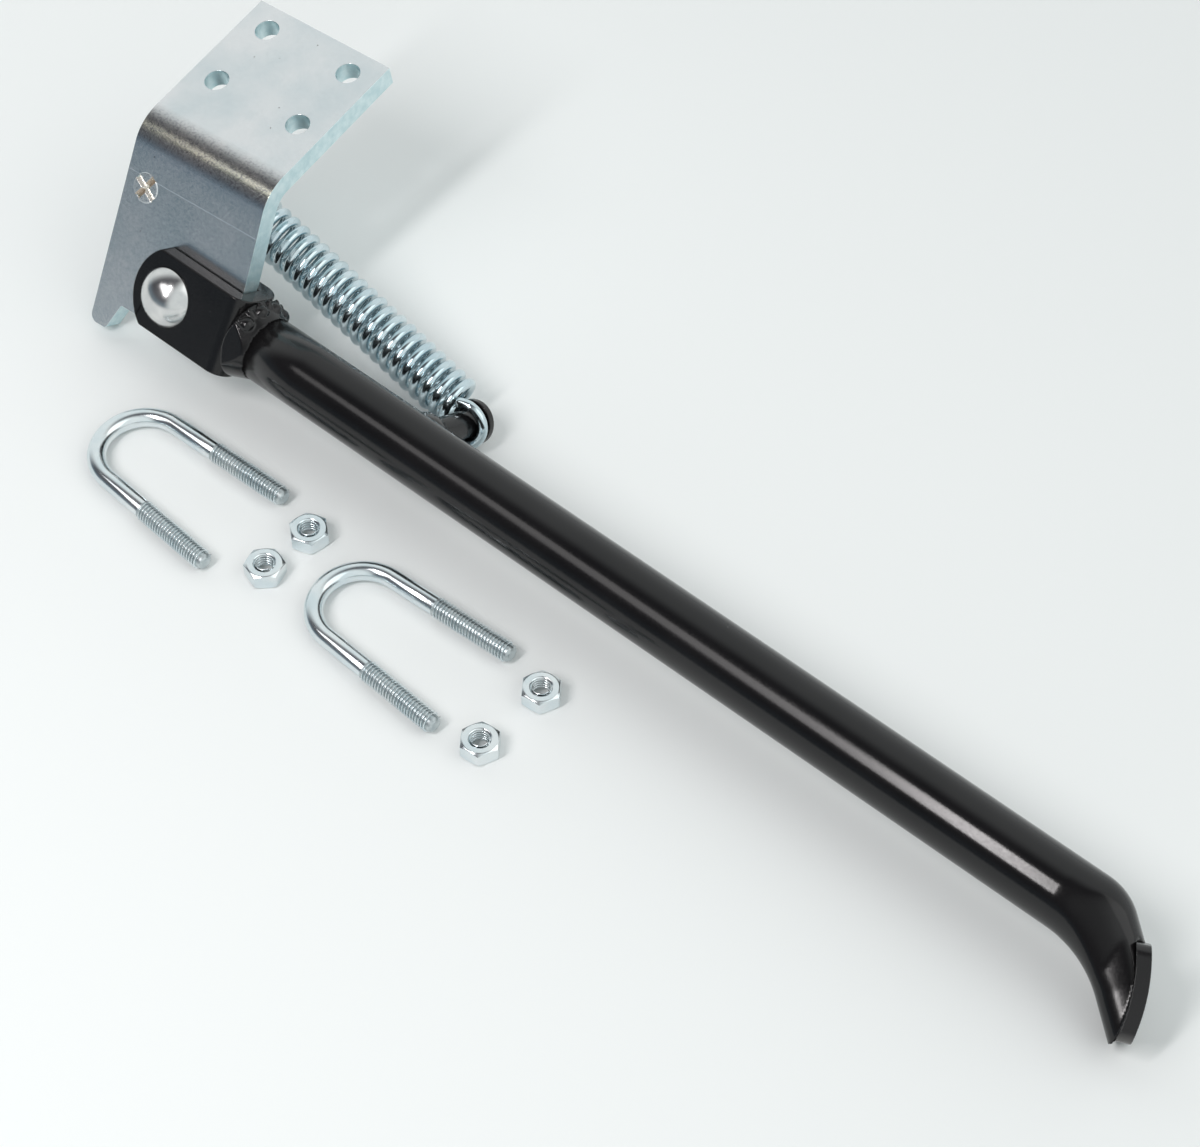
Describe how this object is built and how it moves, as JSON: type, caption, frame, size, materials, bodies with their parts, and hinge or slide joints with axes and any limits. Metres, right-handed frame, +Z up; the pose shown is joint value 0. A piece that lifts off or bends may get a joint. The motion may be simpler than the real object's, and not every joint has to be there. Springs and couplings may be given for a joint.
{
  "type": "motorcycle side stand",
  "caption": "Bolt-on motorcycle side stand: a bent bracket, a riveted fork with a long tube leg and foot pad, a return spring, and the U-bolts and nuts that fasten it.",
  "frame": {"origin": "middle of the base of the whole kit, on the surface that it lies on", "axes": "+X along the folded leg towards the foot, +Z up from the surface, +Y towards the spring side"},
  "size_m": [0.3662, 0.1296, 0.0647],
  "materials": {
    "zinc_plate": "clear zinc plate on steel, satin",
    "black_paint": "satin black coat",
    "bright_steel": "polished domed head",
    "bright_zinc": "bright zinc plate"
  },
  "bodies": {
    "bracket": {"mounting_bracket": "zinc_plate", "bracket_spring_post": "zinc_plate", "u_bolt_1": "bright_zinc", "u_bolt_2": "bright_zinc", "nut_1": "bright_zinc", "nut_2": "bright_zinc", "nut_3": "bright_zinc", "nut_4": "bright_zinc"},
    "leg": {"leg_fork": "black_paint", "pivot_rivet": "bright_steel", "leg_tube": "black_paint", "fork_weld": "black_paint", "foot_pad": "black_paint", "leg_spring_post": "black_paint", "post_weld": "black_paint"},
    "spring": {"return_spring": "bright_zinc"}
  },
  "joints": [
    {"name": "leg_swing", "type": "hinge", "parent": "bracket", "child": "leg", "pos_m": [-0.1515, -0.0064, 0.02042], "axis": [-0.004, 0.8547, -0.5191], "range_deg": [0, 108], "deforming": ["return_spring"]},
    {"name": "spring_swing", "type": "hinge", "parent": "bracket", "child": "spring", "pos_m": [-0.17264, 0.022, 0.02938], "axis": [-0.004, 0.8547, -0.5191], "range_deg": [0, 81.2]}
  ],
  "couplings": [
    {"joint": "spring_swing", "follows": "leg_swing", "ratio": 0.7472}
  ]
}
